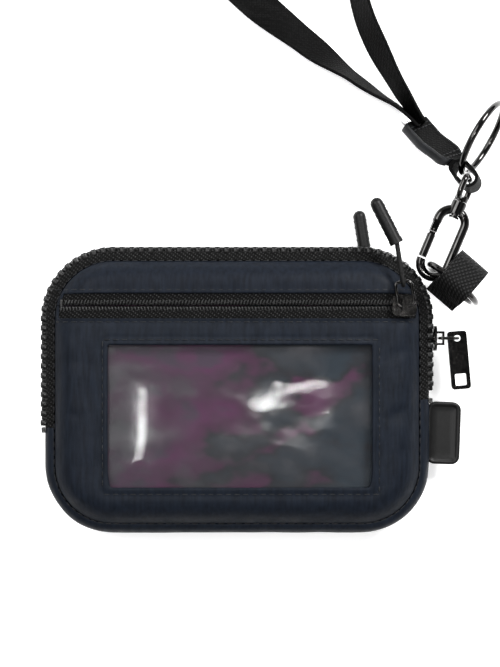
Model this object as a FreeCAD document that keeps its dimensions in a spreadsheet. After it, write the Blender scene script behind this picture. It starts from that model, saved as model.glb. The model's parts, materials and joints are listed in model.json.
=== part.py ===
import FreeCAD, Part
import math
import os
import Sketcher

# Zippered pouch with a card window, a tether clip and a wrist strap.
# It lies on its back: +Z points out of the window side, +Y to the zipped top edge.
# The origin is the middle of the back face that it rests on. Millimetres.

V = FreeCAD.Vector
Z_AXIS = V(0, 0, 1)
doc = FreeCAD.newDocument("zippered_pouch")
sheet = doc.addObject("Spreadsheet::Sheet", "sizes")

SIZES = {
    # pouch shell
    "pouch_width": 136.8, "pouch_depth": 100.2, "pouch_height": 22.0, "corner_radius": 24.0,
    "shell_height": 6.8, "wall": 1.2, "edge_round": 3.0, "back_step": 5.0, "lining": 0.6,
    "lining_margin": 4.5,
    # card window, measured from the middle of the pouch
    "window_left": -45.4, "window_right": 47.5, "window_low": -33.1, "window_high": 16.8,
    "window_corner": 4.0, "film": 0.5, "film_margin": 2.4,
    # pocket zips on the front and the back
    "pocket_line": 30.7, "pocket_half": 5.1, "pocket_left": -63.0, "pocket_right": 63.6,
    "coil_gap": 1.2, "coil_width": 1.8, "coil_height": 1.4, "tape_width": 5.6, "tape": 0.6,
    "pocket_slider_length": 8.6, "pocket_slider_width": 7.6, "slider_plate": 0.9, "slider_post": 0.6,
    "slider_lift": 0.5,
    "front_slider_place": 58.9, "back_slider_place": 48.0,
    "bail_wire": 1.1, "bail_width": 5.6, "bail_reach": 8.4,
    "pull_cord": 1.4, "pull_tip_length": 17.8, "pull_tip_width": 4.6, "cord_in_tip": 1.5,
    "front_cord_reach": 13.6, "back_cord_reach": 9.2, "front_pull_lean": 9.0, "back_pull_lean": 3.0,
    "front_tip_kink": 18.0, "back_tip_kink": 6.0,
    # main zip
    "tooth_pitch": 3.4, "tooth_width": 2.0, "tooth_depth": 1.8, "tooth_reach": 2.6, "chain_gap": 1.0,
    "zip_left_end": -12.3, "zip_right_end": -2.3, "main_slider_place": 19.2, "main_slider_length": 9.0,
    "main_slider_height": 7.4, "pull_plate_length": 21.0, "pull_plate_width": 7.0, "pull_plate": 1.5,
    "pull_plate_top": 2.6, "main_bail_reach": 6.5, "main_bail_height": 6.6,
    # side tag and ribbon loop
    "tag_width": 12.0, "tag_length": 22.5, "tag_thickness": 2.0, "ribbon_width": 12.0, "ribbon": 0.9,
    # tether
    "tether_level": 15.8, "ring_radius": 10.6, "ring_wire": 2.4, "hook_half_width": 4.9,
    "hook_straight": 16.5, "hook_wire": 3.3, "gate_pivot": 12.6, "gate_wire": 3.0, "rivet": 1.2,
    "eye_half_width": 7.4, "eye_wire": 2.2, "eye_start": 25.9, "eye_end": 33.2,
    "tab_width": 10.0, "tab_length": 30.0, "tab_layer": 1.2, "tab_hole": 2.4,
    "key_ring_radius": 13.8, "key_ring_wire": 2.4,
    # wrist strap
    "strap_width": 12.7, "strap_thickness": 1.3,
}
for row, (alias, value) in enumerate(SIZES.items(), start=1):
    sheet.set("A%d" % row, alias.replace("_", " "))
    sheet.set("B%d" % row, str(value))
    sheet.setAlias("B%d" % row, alias)
doc.recompute()

NODES = []


def size(alias):
    return float(sheet.get(alias))


def keep(node, label):
    """Register an object as a sub-part; its label names its file."""
    node.Label = label
    NODES.append(node)
    return node


def solid_part(label, shape, place=None):
    """A sub-part whose shape is worked out by the functions below."""
    node = doc.addObject("Part::Feature", label)
    node.Shape = shape
    if place is not None:
        node.Placement = place
    return keep(node, label)


# ---------------------------------------------------------------- sketched bodies

def plane_of(body, role):
    return [item for item in body.Origin.OriginFeatures if item.Role == role][0]


def rectangle(body, name, low_x, high_x, low_y, high_y, corner):
    """A rounded rectangle whose four sides and corner radius are bound to the sheet."""
    sketch = body.newObject("Sketcher::SketchObject", name)
    sketch.AttachmentSupport = [(plane_of(body, "XY_Plane"), "")]
    sketch.MapMode = "FlatFace"
    x0, x1, y0, y1, r = [value_of(text) for text in (low_x, high_x, low_y, high_y, corner)]
    lines = [(V(x0 + r, y0), V(x1 - r, y0)), (V(x1, y0 + r), V(x1, y1 - r)),
             (V(x1 - r, y1), V(x0 + r, y1)), (V(x0, y1 - r), V(x0, y0 + r))]
    centres = [V(x1 - r, y0 + r), V(x1 - r, y1 - r), V(x0 + r, y1 - r), V(x0 + r, y0 + r)]
    for start, end in lines:
        sketch.addGeometry(Part.LineSegment(start, end), False)
    for turn, centre in enumerate(centres):
        circle = Part.Circle(centre, Z_AXIS, r)
        first = (turn - 1) * math.pi / 2
        sketch.addGeometry(Part.ArcOfCircle(circle, first, first + math.pi / 2), False)
    for side in range(4):
        sketch.addConstraint(Sketcher.Constraint("Tangent", side, 2, 4 + side, 1))
        sketch.addConstraint(Sketcher.Constraint("Tangent", 4 + side, 2, (side + 1) % 4, 1))
        sketch.addConstraint(Sketcher.Constraint("Vertical" if side % 2 else "Horizontal", side))
    for arc in (5, 6, 7):
        sketch.addConstraint(Sketcher.Constraint("Equal", 4, arc))
    bound = [("DistanceX", 3, x0, "low_x", low_x), ("DistanceX", 1, x1, "high_x", high_x),
             ("DistanceY", 0, y0, "low_y", low_y), ("DistanceY", 2, y1, "high_y", high_y)]
    for kind, line, value, title, text in bound:
        index = sketch.addConstraint(Sketcher.Constraint(kind, -1, 1, line, 1, value))
        sketch.renameConstraint(index, title)
        sketch.setExpression("Constraints." + title, text)
    index = sketch.addConstraint(Sketcher.Constraint("Radius", 4, r))
    sketch.renameConstraint(index, "corner")
    sketch.setExpression("Constraints.corner", corner)
    return sketch


def value_of(text):
    """The number that an expression on the sheet gives."""
    return float(sheet.evalExpression(text))


def new_body(label, height_text, turned=False):
    body = doc.addObject("PartDesign::Body", label)
    if turned:
        body.Placement = FreeCAD.Placement(V(0, 0, 0), FreeCAD.Rotation(V(1, 0, 0), 180))
    body.setExpression("Placement.Base.z", height_text)
    return keep(body, label)


def pad(body, sketch, length_text):
    feature = body.newObject("PartDesign::Pad", "pad")
    feature.Profile = sketch
    feature.setExpression("Length", length_text)
    sketch.Visibility = False
    return feature


def pocket(body, sketch, depth_text=None):
    """A cut right through, or upwards from the sketch plane to a depth."""
    feature = body.newObject("PartDesign::Pocket", "pocket")
    feature.Profile = sketch
    if depth_text is None:
        feature.Type = "ThroughAll"
        feature.Midplane = True
    else:
        feature.Type = "Length"
        feature.Reversed = True
        feature.setExpression("Length", depth_text)
    return feature


def plate(label, sides, thickness_text, height_text, corner="1", hole=None, turned=False):
    """A flat piece: a rounded rectangle padded to a thickness, with one optional hole."""
    body = new_body(label, height_text, turned)
    pad(body, rectangle(body, "outline", *sides, corner), thickness_text)
    if hole is not None:
        pocket(body, rectangle(body, "hole", *hole))
    return body


HALF_X = "sizes.pouch_width / 2"
HALF_Y = "sizes.pouch_depth / 2"
SLOT_LOW = "sizes.pocket_line - sizes.pocket_half"
SLOT_HIGH = "sizes.pocket_line + sizes.pocket_half"
FRONT_SIDES = ("-" + HALF_X, HALF_X, "-" + HALF_Y, HALF_Y)
INNER_SIDES = ("-" + HALF_X + " + sizes.wall", HALF_X + " - sizes.wall",
               "-" + HALF_Y + " + sizes.wall", HALF_Y + " - sizes.wall")
WINDOW = ("sizes.window_left", "sizes.window_right", "sizes.window_low", "sizes.window_high",
          "sizes.window_corner")


def shell_panel(label, base_text, height_text, keep_above, split_text, turned, window):
    """One panel of the shell: a shallow tray with its outer edge rounded over, cut off at the
    line where the two panels of that side are joined, and opened for the pocket zip."""
    body = new_body(label, base_text, turned)
    tall = pad(body, rectangle(body, "outline", *FRONT_SIDES, "sizes.corner_radius"), height_text)
    doc.recompute()
    faces = tall.Shape.Faces
    top = max(range(len(faces)), key=lambda i: faces[i].CenterOfMass.z)
    rounded = body.newObject("PartDesign::Fillet", "edge")
    rounded.Base = (tall, ["Face%d" % (top + 1)])
    rounded.setExpression("Radius", "min(sizes.edge_round; " + height_text + " - 0.4)")
    inner = rectangle(body, "inside", *INNER_SIDES, "sizes.corner_radius - sizes.wall")
    pocket(body, inner, height_text + " - sizes.wall")
    side = -1 if turned else 1
    split = split_text if side > 0 else "-(" + split_text + ")"
    far = "2 * " + HALF_X
    upward = keep_above if side > 0 else not keep_above
    cut_low, cut_high = ("-" + far, split) if upward else (split, far)
    pocket(body, rectangle(body, "cut_off", "-" + far, far, cut_low, cut_high, "1"))
    low, high = (SLOT_LOW, SLOT_HIGH) if side > 0 else ("-(" + SLOT_HIGH + ")", "-(" + SLOT_LOW + ")")
    pocket(body, rectangle(body, "slot", "sizes.pocket_left", "sizes.pocket_right", low, high, "1"))
    if window:
        pocket(body, rectangle(body, "window", *WINDOW))
    return body


def make_shell():
    top = "sizes.pouch_height - sizes.shell_height"
    shell_panel("front_upper_panel", top, "sizes.shell_height", True, "sizes.pocket_line", False, False)
    shell_panel("front_lower_panel", top, "sizes.shell_height", False, "sizes.pocket_line", False, True)
    shell_panel("back_upper_panel", "sizes.shell_height", "sizes.shell_height - sizes.back_step",
                True, SLOT_LOW, True, False)
    shell_panel("back_lower_panel", "sizes.shell_height", "sizes.shell_height", False, SLOT_LOW,
                True, False)
    film = ("sizes.window_left - sizes.film_margin", "sizes.window_right + sizes.film_margin",
            "sizes.window_low - sizes.film_margin", "sizes.window_high + sizes.film_margin")
    plate("window_film", film, "sizes.film", "sizes.pouch_height - sizes.wall - 0.8", "3")
    plate("card_pocket_backing", film, "sizes.lining", "sizes.pouch_height - 4", "3")
    inset = ("-" + HALF_X + " + sizes.lining_margin", HALF_X + " - sizes.lining_margin",
             "-" + HALF_Y + " + sizes.lining_margin", HALF_Y + " - sizes.lining_margin")
    round_in = "sizes.corner_radius - sizes.lining_margin"
    heights = {"front_pocket_lining": "sizes.pouch_height - 5.6", "main_lining_front":
               "sizes.pouch_height - 7.4", "main_lining_back": "sizes.shell_height + 2"}
    for label, height in heights.items():
        plate(label, inset, "sizes.lining", height, round_in)
    low_inset = inset[:3] + (SLOT_LOW + " - 1",)
    plate("back_pocket_lining", low_inset, "sizes.lining", "2.4", round_in)


# ---------------------------------------------------------------- pocket zips

def pocket_zip(side, face_text, turned, slider_alias):
    """Tapes, coils, stops and slider of one pocket. All heights are counted inwards from the
    face of the panel; on the back the whole set is turned over."""
    sign = -1 if turned else 1
    width = "sizes.tape_width"
    gap = "sizes.coil_gap / 2"
    ends = ("sizes.pocket_left - 1.2", "sizes.pocket_right + 0.6")

    def strip(label, near_text, far_text, upper, x_ends, thickness, depth):
        low = "sizes.pocket_line" + (" + " if upper else " - ")
        first, last = low + "(" + near_text + ")", low + "(" + far_text + ")"
        if not upper:
            first, last = last, first
        if sign < 0:
            first, last = "-(" + last + ")", "-(" + first + ")"
        height = face_text + (" - " if sign > 0 else " + ") + "(" + depth + ")"
        plate(label, x_ends + (first, last), thickness, height, "0.2", turned=turned)

    for upper, word in ((True, "upper"), (False, "lower")):
        strip(side + "_tape_" + word, gap, width, upper, ends, "sizes.tape", "sizes.wall + 0.9")
        strip(side + "_coil_" + word, gap, gap + " + sizes.coil_width", upper,
              ("sizes.pocket_left + 1.5", "sizes.pocket_right - 1.2"), "sizes.coil_height", "1.4")
    face = value_of(face_text)
    middle = size("pocket_line")
    across = size("coil_gap") / 2 + size("coil_width")
    stops = []
    for edge, step in ((size("pocket_left") + 0.2, 1.1), (size("pocket_right") - 1.1, 0.9)):
        box = Part.makeBox(step, 2 * across, 1.6, V(edge, middle - across, -1.4))
        stops.append(at_face(box, face, sign))
    solid_part(side + "_zip_stops", Part.makeCompound(stops))
    slider = pocket_slider(size(slider_alias), middle)
    solid_part(side + "_slider", at_face(slider, face, sign))


def at_face(shape, face, sign):
    """Lift a shape drawn outwards from height 0 to the face of its panel, or turn it under."""
    if sign < 0:
        shape = shape.mirror(V(0, 0, 0), Z_AXIS)
    shape.translate(V(0, 0, face))
    return shape


def pocket_slider(place, middle):
    """Top plate with its arch for the bail, post between the coils, and under plate."""
    length, width = size("pocket_slider_length"), size("pocket_slider_width")
    plate_z, post = size("slider_plate"), size("slider_post")
    left, low = place - length / 2, middle - width / 2
    lift, depth = size("slider_lift"), 3.2
    top = Part.makeBox(length, width, plate_z, V(left, low, lift))
    corners = [edge for edge in top.Edges if abs(edge.tangentAt(edge.FirstParameter).z) > 0.9]
    top = top.makeFillet(2.2, corners)
    under = Part.makeBox(length * 0.8, width, 0.7, V(left + length * 0.1, low, -depth))
    stem = Part.makeBox(length * 0.5, post, 3.4, V(left + length * 0.25, middle - post / 2, 0.4 - depth))
    hole = size("bail_wire") + 0.7
    arch_length, arch_width = 2.2, 4.8
    arch = Part.makeBox(arch_length, arch_width, hole + 0.8,
                        V(place - arch_length / 2, middle - arch_width / 2, lift + plate_z - 0.1))
    tunnel_length, tunnel_width = 5.0, hole + 1
    tunnel = Part.makeBox(tunnel_length, tunnel_width, hole,
                          V(place - tunnel_length / 2, middle - tunnel_width / 2, lift + plate_z))
    return top.fuse([under, stem, arch]).removeSplitter().cut(tunnel)


def ring_bail(width, reach, wire):
    """A wire loop lying flat, from its bar at the origin out to +Y."""
    half, bend = width / 2, width / 2 * 0.45
    corners = [V(-half, 0, 0), V(half, 0, 0), V(half, reach, 0), V(-half, reach, 0)]
    return round_tube(corners, wire / 2, bend)


def round_tube(corners, radius, bend):
    """A closed tube round a polygon whose corners are arcs of one radius."""
    arcs = []
    count = len(corners)
    for i in range(count):
        point, before, after = corners[i], corners[i - 1], corners[(i + 1) % count]
        back = (before - point).normalize()
        ahead = (after - point).normalize()
        half_turn = (math.pi - back.getAngle(ahead)) / 2
        cut = bend * math.tan(half_turn)
        inward = (back + ahead).normalize()
        centre = point + inward * (bend / math.cos(half_turn))
        arcs.append((point + back * cut, centre - inward * bend, point + ahead * cut))
    pieces = []
    for i, (start, mid, end) in enumerate(arcs):
        pieces.append(Part.Arc(start, mid, end).toShape())
        following = arcs[(i + 1) % count][0]
        if (following - end).Length > 1e-6:
            pieces.append(Part.LineSegment(end, following).toShape())
    return pipe_along(Part.Wire(pieces), radius)


def pipe_along(path, radius):
    """A round tube along a wire, square to it at its start."""
    first = path.OrderedEdges[0]
    start = first.valueAt(first.FirstParameter)
    along = first.tangentAt(first.FirstParameter)
    if path.OrderedVertexes[0].Point.distanceToPoint(start) > 1e-6:
        start = first.valueAt(first.LastParameter)
    ring = Part.Wire([Part.Circle(start, along, radius).toShape()])
    shape = path.makePipeShell([ring], True, True)
    return shape if shape.Volume > 0 else shape.reversed()


def pull_set(side, place, face, sign):
    """Bail, cord loop and moulded tip of a pocket pull. It lies across the panel to +Y."""
    wire = size("bail_wire")
    play = 0.55
    level = size("slider_lift") + size("slider_plate") + wire / 2 + play
    turn = FreeCAD.Rotation(Z_AXIS, size(side + "_pull_lean"))
    kink = FreeCAD.Rotation(Z_AXIS, size(side + "_tip_kink"))
    far, reach = size("bail_reach"), size(side + "_cord_reach")
    bar = FreeCAD.Placement(V(place, size("pocket_line"), face + sign * level), turn)
    solid_part(side + "_bail", ring_bail(size("bail_width"), far, wire), bar)
    solid_part(side + "_pull_cord", cord_loop(far, size("pull_cord"), reach, kink), bar)
    tip_place = FreeCAD.Placement(V(0, far + reach, 0), kink)
    solid_part(side + "_pull_tip", pull_tip(), bar.multiply(tip_place))


def cord_loop(far, cord, reach, kink):
    """A loop of round cord round the bail's far bar, and its stem, which bends into the tip."""
    rise = size("bail_wire") / 2 + cord / 2 + 0.12
    loop_end, stem = 2.6, cord / 2 * 1.2
    corners = [V(0, far - rise, -rise), V(0, far + loop_end, -rise), V(0, far + loop_end, rise),
               V(0, far - rise, rise)]
    ring = round_tube(corners, cord / 2, rise * 0.95)
    knuckle = V(0, far + reach, 0)
    run = Part.makeCylinder(stem, reach - loop_end, V(0, far + loop_end, 0), V(0, 1, 0))
    inside = Part.makeCylinder(stem, size("cord_in_tip"), knuckle, kink.multVec(V(0, 1, 0)))
    return ring.fuse([run, Part.makeSphere(stem, knuckle), inside])


def pull_tip():
    """The moulded end that hides the cord's knot: ridged, round ended, lipped at the cord."""
    length = size("pull_tip_length")
    half = size("pull_tip_width") / 2
    y_axis = V(0, 1, 0)
    tip = Part.makeCylinder(half, length - half, V(0, 0, 0), y_axis)
    extras = [Part.makeSphere(half, V(0, length - half, 0)),
              Part.makeCylinder(half + 0.15, 1.6, V(0, 0, 0), y_axis)]
    for ridge in range(5):
        extras.append(Part.makeCylinder(half + 0.12, 0.8, V(0, 4.4 + 2.3 * ridge, 0), y_axis))
    socket = Part.makeCylinder(size("pull_cord") / 2 * 1.2, size("cord_in_tip"), V(0, 0, 0), y_axis)
    return tip.fuse(extras).cut(socket)


# ---------------------------------------------------------------- main zip

TOOTH_GAP = 0.05      # between the tape and the feet of the teeth
FIRST_TOOTH = 1.2     # from the end of the zip
END_GAP = 2.6         # left free at the far end of the zip


def edge_place(distance, inset):
    """A point and outward normal on the pouch's outline, counted clockwise (seen from the
    front) from the left end of the zip, moved inwards by inset."""
    radius = size("corner_radius")
    half_x, half_y = size("pouch_width") / 2, size("pouch_depth") / 2
    bend = radius * math.pi / 2
    side = half_y - radius - size("zip_left_end")
    top = 2 * (half_x - radius)
    if distance < side:
        return V(-half_x + inset, size("zip_left_end") + distance, 0), V(-1, 0, 0)
    distance -= side
    if distance < bend:
        return corner_place(-half_x + radius, math.pi - distance / radius, inset)
    distance -= bend
    if distance < top:
        return V(-half_x + radius + distance, half_y - inset, 0), V(0, 1, 0)
    distance -= top
    if distance < bend:
        return corner_place(half_x - radius, math.pi / 2 - distance / radius, inset)
    return V(half_x - inset, half_y - radius - (distance - bend), 0), V(1, 0, 0)


def corner_place(centre_x, angle, inset):
    normal = V(math.cos(angle), math.sin(angle), 0)
    centre = V(centre_x, size("pouch_depth") / 2 - size("corner_radius"), 0)
    return centre + normal * (size("corner_radius") - inset), normal


def zip_length():
    straight = 2 * (size("pouch_depth") / 2 - size("corner_radius"))
    straight -= size("zip_left_end") + size("zip_right_end")
    return straight + math.pi * size("corner_radius") + size("pouch_width") - 2 * size("corner_radius")


def outline_band(inset, thickness, low, high):
    """A closed band that follows the pouch's rounded outline."""
    rims = []
    for off in (inset, inset + thickness):
        half_x, half_y = size("pouch_width") / 2 - off, size("pouch_depth") / 2 - off
        box = Part.makeBox(2 * half_x, 2 * half_y, high - low, V(-half_x, -half_y, low))
        upright = [e for e in box.Edges if abs(e.tangentAt(e.FirstParameter).z) > 0.9]
        rims.append(box.makeFillet(size("corner_radius") - off, upright))
    return rims[0].cut(rims[1])


def zip_side_boxes():
    """The two blocks that split the outline band into the zipped part and the gusset."""
    reach = size("pouch_width")
    height = 2 * size("pouch_height")
    base = -height / 4
    low_left = Part.makeBox(reach, reach, height, V(-reach, size("zip_left_end") - reach, base))
    low_right = Part.makeBox(reach, reach, height, V(0, size("zip_right_end") - reach, base))
    return low_left.fuse(low_right)


def tooth_row(start, low, reach):
    """A row of separate moulded teeth standing outside the tape."""
    teeth = []
    pitch, width, depth = size("tooth_pitch"), size("tooth_width"), size("tooth_depth")
    count = int((zip_length() - start - END_GAP) / pitch) + 1
    for index in range(count):
        point, normal = edge_place(start + pitch * index, -TOOTH_GAP)
        tooth = Part.makeBox(depth, width, reach, V(0, -width / 2, 0))
        turn = FreeCAD.Rotation(V(1, 0, 0), normal)
        tooth.Placement = FreeCAD.Placement(point + V(0, 0, low), turn)
        teeth.append(tooth)
    return Part.makeCompound(teeth)


def make_main_zip():
    middle = size("pouch_height") / 2
    low, high = size("shell_height"), size("pouch_height") - size("shell_height")
    gap = size("chain_gap") / 2
    lower = zip_side_boxes()
    solid_part("main_tape_front", outline_band(0, 0.8, middle + gap, high).cut(lower))
    solid_part("main_tape_back", outline_band(0, 0.8, low, middle - gap).cut(lower))
    solid_part("bottom_gusset", outline_band(0, 0.8, low, high).common(lower))
    reach = size("tooth_reach")
    solid_part("main_teeth_front", tooth_row(FIRST_TOOTH, middle + gap, reach))
    second = FIRST_TOOTH + size("tooth_pitch") / 2
    solid_part("main_teeth_back", tooth_row(second, middle - gap - reach, reach))
    stops = []
    depth, width, tall = 1.5, 1.8, 5.6
    for distance in (-1.4, zip_length() + 0.9):
        point, normal = edge_place(distance, -TOOTH_GAP)
        stop = Part.makeBox(depth, width, tall, V(0, -width / 2, -tall / 2))
        stop.Placement = FreeCAD.Placement(point + V(0, 0, middle), FreeCAD.Rotation(V(1, 0, 0), normal))
        stops.append(stop)
    solid_part("main_zip_stops", Part.makeCompound(stops))
    make_main_slider(middle)


def make_main_slider(middle):
    """Outer plate with its arch, post between the two tooth rows, and inner plate."""
    edge = size("pouch_width") / 2
    place, length, tall = size("main_slider_place"), size("main_slider_length"), size("main_slider_height")
    low_y, low_z = place - length / 2, middle - tall / 2
    plate_x, post = size("slider_plate"), size("slider_post")
    outer_x = edge + TOOTH_GAP + size("tooth_depth") + 0.3
    outer = Part.makeBox(plate_x, length, tall, V(outer_x, low_y, low_z))
    sides = [e for e in outer.Edges if abs(e.tangentAt(e.FirstParameter).x) > 0.9]
    outer = outer.makeFillet(2 * plate_x, sides)
    inner = Part.makeBox(plate_x, length * 0.8, tall, V(edge - 2.0, low_y + length * 0.1, low_z))
    stem = Part.makeBox(outer_x - edge + 1.6, length * 0.5, post,
                        V(edge - 1.4, place - length / 4, middle - post / 2))
    face = outer_x + plate_x
    arch_length, arch_height = 5.0, 2.4
    arch = Part.makeBox(3.1, arch_length, arch_height,
                        V(face - 0.1, place - arch_length / 2, middle - arch_height / 2))
    tunnel_length, tunnel_height = 3.4, 6.0
    tunnel = Part.makeBox(2.2, tunnel_length, tunnel_height,
                          V(face, place - tunnel_length / 2, middle - tunnel_height / 2))
    solid_part("main_slider", outer.fuse([inner, stem, arch]).cut(tunnel))
    bar = V(face + 1.1, place, middle)
    half = size("main_bail_height") / 2
    reach = size("main_bail_reach")
    corners = [V(0, 0, -half), V(reach, 0, -half), V(reach, 0, half), V(0, 0, half)]
    bail = round_tube(corners, size("bail_wire") / 2, 1.4)
    solid_part("main_bail", bail, FreeCAD.Placement(bar, FreeCAD.Rotation()))
    make_pull_plate(bar + V(reach, 0, 0))


def make_pull_plate(pin):
    """The flat puller hangs on the bail's outer bar by a hole near its top end."""
    body = doc.addObject("PartDesign::Body", "main_pull_plate")
    body.Placement = FreeCAD.Placement(pin, FreeCAD.Rotation(Z_AXIS, 5))
    half = "sizes.pull_plate_width / 2"
    low, high = "sizes.pull_plate_top - sizes.pull_plate_length", "sizes.pull_plate_top"
    sides = ("-" + half, half, low, high, "1.2")
    pad(body, rectangle(body, "outline", *sides), "sizes.pull_plate")
    pocket(body, rectangle(body, "eye", "-1.2", "1.2", "-1.1", "1.1", "1.05"))
    slot_low = low + " + 1.4"
    slot = ("-" + half + " + 1.5", half + " - 1.5", slot_low, slot_low + " + 4.2", "0.4")
    pocket(body, rectangle(body, "slot", *slot))
    body.setExpression("Placement.Base.z", "sizes.pouch_height / 2 - sizes.pull_plate / 2")
    keep(body, "main_pull_plate")


# ---------------------------------------------------------------- tether

def unit(vector):
    return V(vector).normalize()


RING_LINE = unit(V(0.757, -0.654, 0))
RING_OUT = unit(V(0.654, 0.757, 0))
HOOK_TILT = math.radians(23)
HOOK_AXIS = V(math.sin(HOOK_TILT), math.cos(HOOK_TILT), 0)
HOOK_SIDE = V(math.cos(HOOK_TILT), -math.sin(HOOK_TILT), 0)
HOOK_TOUCH = V(68.75, 45.55, 0)
TAB_ALONG = unit(V(-0.60, 0.755, -0.27))
TAB_ACROSS = unit(HOOK_AXIS.cross(TAB_ALONG))


def ring_centre():
    return HOOK_TOUCH + RING_LINE * size("ring_radius") + V(0, 0, size("tether_level"))


def hook_origin():
    return HOOK_TOUCH + HOOK_SIDE * 1.2 + V(0, 0, size("tether_level"))


def hook_frame(extra=None):
    """Placement of the hook: x across it, y up its axis, z towards the front."""
    matrix = FreeCAD.Matrix(HOOK_SIDE.x, HOOK_AXIS.x, 0, 0, HOOK_SIDE.y, HOOK_AXIS.y, 0, 0, 0, 0, 1, 0)
    turn = FreeCAD.Placement(matrix).Rotation
    return FreeCAD.Placement(hook_origin(), turn if extra is None else turn.multiply(extra))


def route_arcs(points):
    """Straight runs joined by tangent arcs, each as large as its two runs allow."""
    arcs = []
    for i in range(1, len(points) - 1):
        before, after = points[i - 1] - points[i], points[i + 1] - points[i]
        half_turn = (math.pi - before.getAngle(after)) / 2
        cut = 0.45 * min(before.Length, after.Length)
        arcs.append((points[i], unit(before), unit(after), cut, cut / math.tan(half_turn), half_turn))
    return arcs


def flat_band(points, thickness, width):
    """A strap on edge: the route is in the XY plane and the band is extruded along Z."""
    def side(offset):
        edges = []
        first = unit(points[1] - points[0])
        last = points[0] + V(-first.y, first.x, 0) * offset
        for point, back, ahead, cut, radius, half_turn in route_arcs(points):
            into = back * -1
            left_in, left_out = V(-into.y, into.x, 0), V(-ahead.y, ahead.x, 0)
            start = point + back * cut + left_in * offset
            end = point + ahead * cut + left_out * offset
            inward = unit(back + ahead)
            centre = point + inward * (radius / math.cos(half_turn))
            shift = -1 if left_in.dot(inward) > 0 else 1
            mid = centre - inward * (radius + shift * offset)
            edges += [Part.LineSegment(last, start).toShape(), Part.Arc(start, mid, end).toShape()]
            last = end
        heading = unit(points[-1] - points[-2])
        final = points[-1] + V(-heading.y, heading.x, 0) * offset
        edges.append(Part.LineSegment(last, final).toShape())
        return edges, points[0] + V(-first.y, first.x, 0) * offset, final
    left, left_start, left_end = side(thickness / 2)
    right, right_start, right_end = side(-thickness / 2)
    caps = [Part.LineSegment(left_start, right_start).toShape(),
            Part.LineSegment(left_end, right_end).toShape()]
    wire = Part.Wire(Part.__sortEdges__(left + right + caps))
    return Part.Face(wire).extrude(V(0, 0, width))


def make_ribbon():
    """The sewn loop: seen along the ring it leaves the seam, goes over the ring and comes back."""
    top = size("tether_level") + size("ring_radius")
    low, high = top - 4.4, top + 2.2
    loop = [V(-7.5, 16.6, 0), V(-4.4, 17.2, 0), V(-3.2, 20.0, 0), V(-0.6, low, 0), V(4.6, low + 0.4, 0),
            V(8.8, low + 1.4, 0), V(9.9, (low + high) / 2 + 0.4, 0), V(8.6, high - 0.3, 0),
            V(4.0, high, 0), V(-1.6, high, 0), V(-4.6, 25.0, 0), V(-5.4, 21.0, 0), V(-7.5, 18.6, 0)]
    band = flat_band(loop, size("ribbon"), size("ribbon_width"))
    across = RING_LINE
    matrix = FreeCAD.Matrix(RING_OUT.x, 0, across.x, 0, RING_OUT.y, 0, across.y, 0, 0, 1, 0, 0)
    base = ring_centre() - V(0, 0, size("tether_level")) - across * (size("ribbon_width") / 2)
    place = FreeCAD.Placement(matrix)
    solid_part("ribbon_loop", band, FreeCAD.Placement(base, place.Rotation))


def make_ring():
    """The tether ring stands on edge through the ribbon loop."""
    torus = doc.addObject("Part::Torus", "tether_ring")
    torus.setExpression("Radius1", "sizes.ring_radius")
    torus.setExpression("Radius2", "sizes.ring_wire / 2")
    torus.Placement = FreeCAD.Placement(ring_centre(), FreeCAD.Rotation(Z_AXIS, RING_OUT))
    keep(torus, "tether_ring")


def make_hook():
    """Snap hook: an oval of round wire, open on its left leg where the gate closes it."""
    half, top, wire = size("hook_half_width"), size("hook_straight"), size("hook_wire") / 2
    low, pivot = 0.9, size("gate_pivot")
    leg_end = V(-half, pivot + 2.2, 0)
    path = Part.Wire([
        Part.LineSegment(leg_end, V(-half, top, 0)).toShape(),
        Part.Arc(V(-half, top, 0), V(0, top + half, 0), V(half, top, 0)).toShape(),
        Part.LineSegment(V(half, top, 0), V(half, low, 0)).toShape(),
        Part.Arc(V(half, low, 0), V(0, low - half, 0), V(-half, low, 0)).toShape()])
    y_axis = V(0, 1, 0)
    section = Part.Wire([Part.Circle(leg_end, y_axis, wire).toShape()])
    frame = path.makePipeShell([section], True, True)
    boss = Part.makeCylinder(2.7, 4.8, V(0, top + half - 1.7, 0), y_axis)
    fork, ear_width, ear_length = 0.95, 2.4, 4.4
    ears = []
    for level in (-wire, fork):
        corner = V(-half - ear_width / 2, pivot - 1.4, level)
        ears.append(Part.makeBox(ear_width, ear_length, wire - fork, corner))
    rivet_radius = size("rivet") / 2
    hole = Part.makeCylinder(rivet_radius, 4, V(-half, pivot, -2), Z_AXIS)
    bore = Part.makeCylinder(1.25, 10, V(0, top + half - 4, 0), y_axis)
    hook = frame.fuse([boss] + ears).cut(hole.fuse(bore))
    solid_part("hook_body", hook, hook_frame())
    gate = Part.makeCylinder(size("gate_wire") / 2, pivot - 4.0, V(-half, 1.5, 0), y_axis)
    tongue_width, tongue_thick = 2.2, 1.7
    tongue = Part.makeBox(tongue_width, ear_length, tongue_thick,
                          V(-half - tongue_width / 2, pivot - 3.1, -tongue_thick / 2))
    swing = Part.makeCylinder(rivet_radius + 0.05, 4, V(-half, pivot, -2), Z_AXIS)
    solid_part("hook_gate", gate.fuse(tongue).cut(swing), hook_frame())
    head = 0.25
    rivet = Part.makeCylinder(rivet_radius, 2 * (wire + head), V(-half, pivot, -wire - head), Z_AXIS)
    solid_part("gate_rivet", rivet, hook_frame())


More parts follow.
